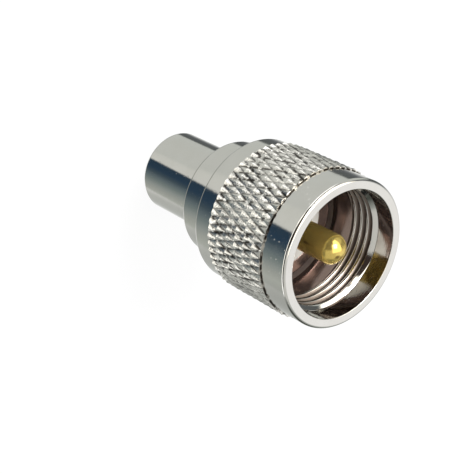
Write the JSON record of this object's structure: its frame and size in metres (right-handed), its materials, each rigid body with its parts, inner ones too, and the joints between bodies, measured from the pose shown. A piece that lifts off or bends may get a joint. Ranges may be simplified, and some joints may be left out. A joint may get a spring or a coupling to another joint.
{
  "type": "coaxial adapter",
  "caption": "Straight coaxial adapter: a plug with a knurled free-spinning coupling nut and a domed centre pin at one end, a slim threaded barrel socket with a fine pin at the other.",
  "frame": {"origin": "centre of the barrel's end face, which the adapter stands on", "axes": "+Z along the adapter's axis, out of the coupling nut's mouth"},
  "size_m": [0.0192, 0.0192, 0.0326],
  "materials": {
    "nickel_plate": "bright nickel plate on turned brass",
    "gold_plate": "thin gold plate on turned brass",
    "ptfe": "white turned PTFE"
  },
  "bodies": {
    "adapter": {"plug_body": "nickel_plate", "barrel_body": "nickel_plate", "front_insulator": "ptfe", "rear_insulator": "ptfe", "centre_contact": "gold_plate"},
    "nut": {"coupling_nut": "nickel_plate"}
  },
  "joints": [
    {"name": "nut_spin", "type": "hinge", "parent": "adapter", "child": "nut", "pos_m": [0, 0, 0.0244], "axis": [0, 0, 1], "continuous": true}
  ]
}
